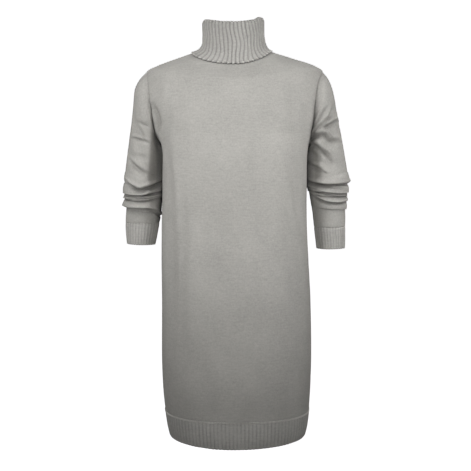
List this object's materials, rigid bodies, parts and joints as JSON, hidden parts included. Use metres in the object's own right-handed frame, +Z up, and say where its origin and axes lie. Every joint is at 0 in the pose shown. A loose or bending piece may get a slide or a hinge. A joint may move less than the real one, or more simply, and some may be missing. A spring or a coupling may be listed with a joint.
{
  "type": "sweater dress",
  "caption": "Straight knee-length sweater dress in plain grey jersey, hollow as worn, with a folded roll neck, pushed-up sleeves and ribbed collar, cuffs and hem.",
  "frame": {"origin": "on the centre line of the neck, level with the points where the shoulders meet the neck, where the wearer's neck and shoulders hold the dress up", "axes": "+X towards the wearer's left, -Y out of the front, +Z up the body"},
  "size_m": [0.5189, 0.262, 0.9608],
  "materials": {
    "jersey": "fine plain knit, matt and slightly brushed",
    "rib": "ribbed knit, matt"
  },
  "bodies": {
    "root": {"front": "jersey", "back": "jersey", "sleeve_right": "jersey", "sleeve_left": "jersey", "cuff_right": "rib", "cuff_left": "rib", "collar": "rib", "hem_rib_front": "rib", "hem_rib_back": "rib"}
  },
  "joints": []
}
